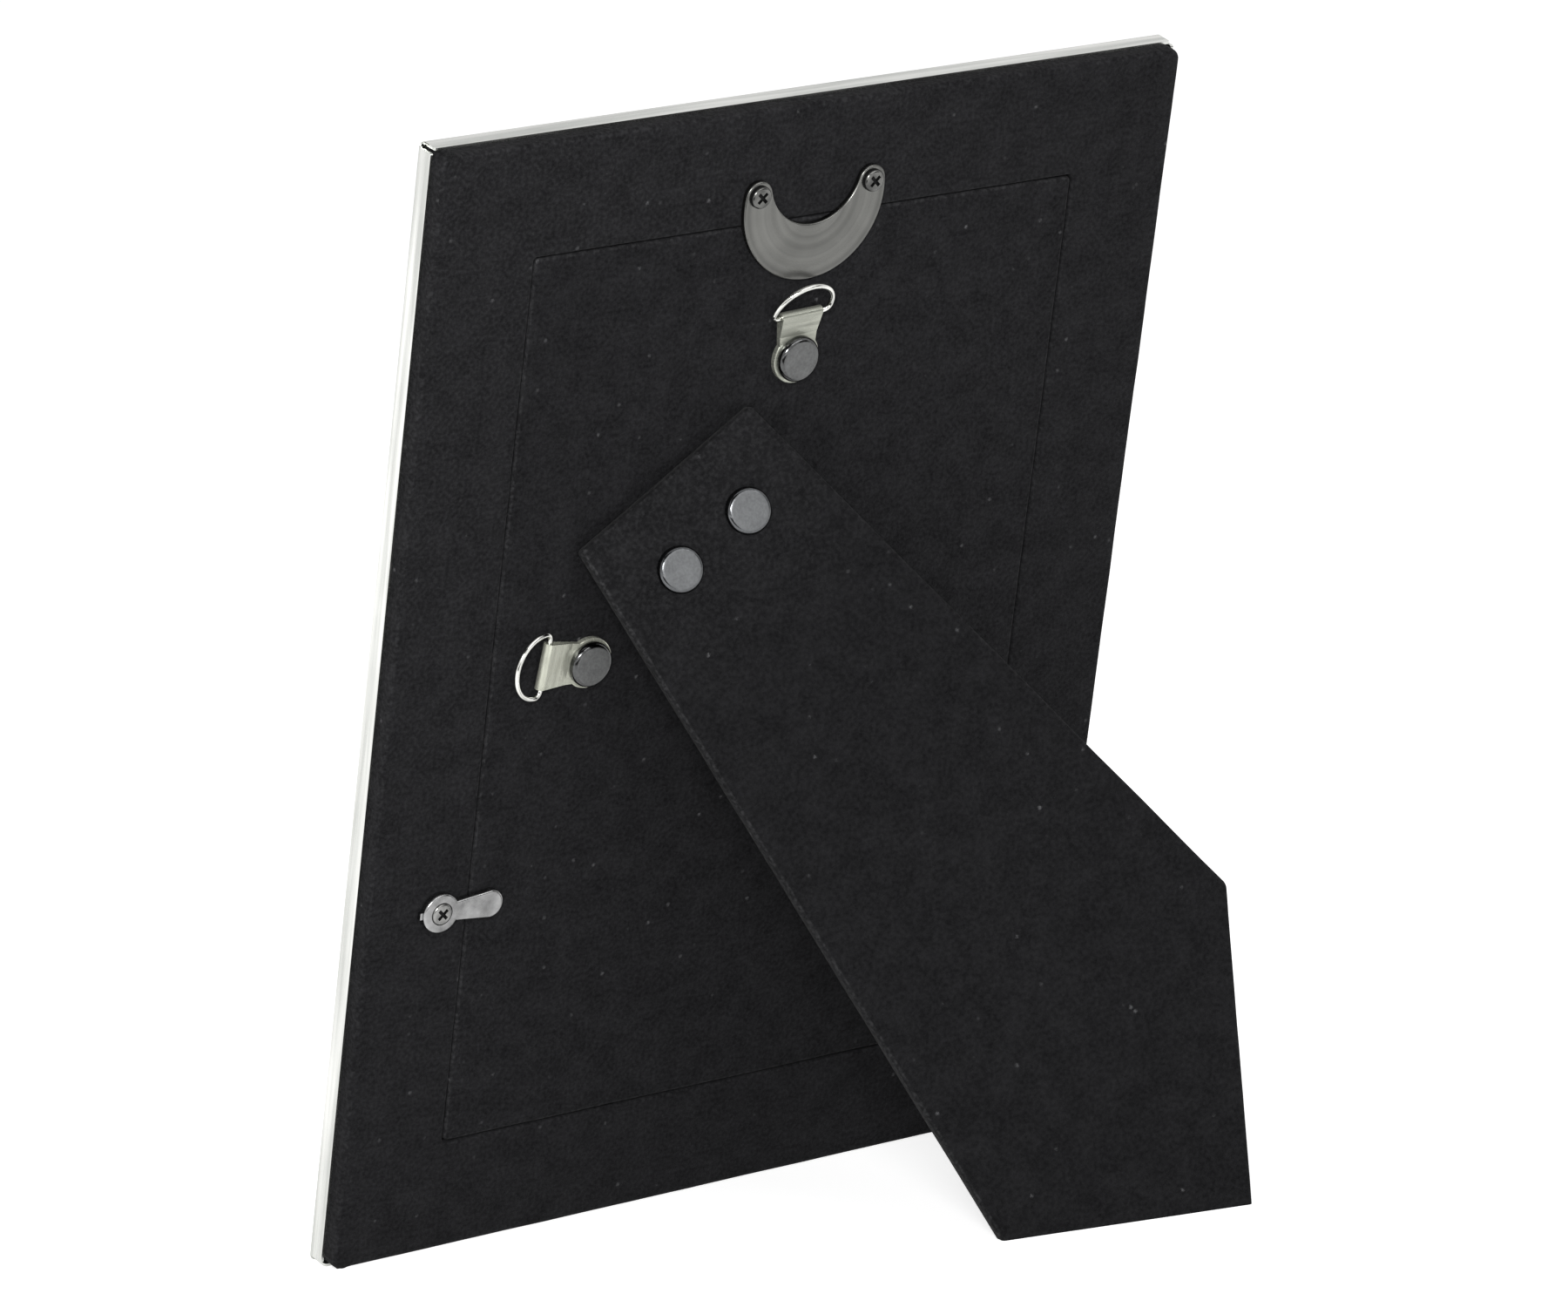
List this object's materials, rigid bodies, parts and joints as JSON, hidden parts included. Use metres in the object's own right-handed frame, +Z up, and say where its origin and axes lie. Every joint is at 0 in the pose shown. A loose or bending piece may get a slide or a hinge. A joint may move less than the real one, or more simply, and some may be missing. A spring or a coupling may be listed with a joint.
{
  "type": "easel back photo frame",
  "caption": "Standing photo frame with a slim metal front shell, velvet back, hinged diagonal easel leg, swinging ring hangers, turn buttons and a crescent panel retainer.",
  "frame": {"origin": "centre of the overall box at table level, with the frame standing on its lower edge and the leg's foot", "axes": "+Z up, +Y out of the velvet back towards the leg's foot, +X to the left seen from the back"},
  "size_m": [0.151, 0.0874, 0.1945],
  "materials": {
    "shell_metal": "polished silver plate",
    "core_board": "raw fibreboard",
    "velvet": "short black velvet pile",
    "glass": "clear float glass",
    "print_paper": "plain satin print paper",
    "filler_card": "grey board",
    "crescent_metal": "turned nickel plate",
    "screw_metal": "bright nickel plate",
    "button_metal": "satin nickel plate",
    "strap_metal": "bright nickel plate",
    "ring_wire": "bright wire",
    "cap_metal": "dull nickel plate",
    "hinge_metal": "black lacquer"
  },
  "bodies": {
    "frame": {"front_shell": "shell_metal", "core_frame": "core_board", "border_velvet": "velvet", "glass_pane": "glass", "print_insert": "print_paper", "filler_card": "filler_card", "back_panel": "core_board", "panel_velvet": "velvet", "crescent_retainer": "crescent_metal", "crescent_screws": "screw_metal", "turn_button_screws": "screw_metal", "hanger_rivets": "cap_metal", "hinge_panel_leaf": "hinge_metal", "hinge_panel_rivets": "hinge_metal", "hinge_pin": "hinge_metal"},
    "leg": {"leg_board": "core_board", "leg_velvet": "velvet", "hinge_leg_leaf": "hinge_metal", "leg_rivets": "cap_metal"},
    "button_left": {"turn_button_left": "button_metal"},
    "button_right": {"turn_button_right": "button_metal"},
    "strap_top": {"hanger_strap_top": "strap_metal"},
    "ring_top": {"hanger_ring_top": "ring_wire"},
    "strap_side": {"hanger_strap_side": "strap_metal"},
    "ring_side": {"hanger_ring_side": "ring_wire"}
  },
  "joints": [
    {"name": "leg_hinge", "type": "hinge", "parent": "frame", "child": "leg", "pos_m": [0.0219, -0.00046, 0.12736], "axis": [-0.8281, 0.1517, 0.5397], "range_deg": [0, 28]},
    {"name": "button_left_turn", "type": "hinge", "parent": "frame", "child": "button_left", "pos_m": [0.0609, -0.01952, 0.06177], "axis": [0, 0.9627, -0.2706], "continuous": true},
    {"name": "button_right_turn", "type": "hinge", "parent": "frame", "child": "button_right", "pos_m": [-0.0609, -0.01952, 0.06177], "axis": [0, 0.9627, -0.2706], "continuous": true},
    {"name": "strap_top_swivel", "type": "hinge", "parent": "frame", "child": "strap_top", "pos_m": [0, 0.00451, 0.14908], "axis": [0, 0.9627, -0.2706], "range_deg": [-30, 30]},
    {"name": "ring_top_swing", "type": "hinge", "parent": "strap_top", "child": "ring_top", "pos_m": [0.00034, 0.00754, 0.15637], "axis": [-0.999, 0.0118, 0.042], "range_deg": [-19, 133]},
    {"name": "strap_side_swivel", "type": "hinge", "parent": "frame", "child": "strap_side", "pos_m": [0.0359, -0.00885, 0.10157], "axis": [0, 0.9627, -0.2706], "range_deg": [-30, 30]},
    {"name": "ring_side_swing", "type": "hinge", "parent": "strap_side", "child": "ring_side", "pos_m": [0.04499, -0.00765, 0.10231], "axis": [-0.1132, 0.2689, 0.9565], "range_deg": [-12, 146]}
  ]
}
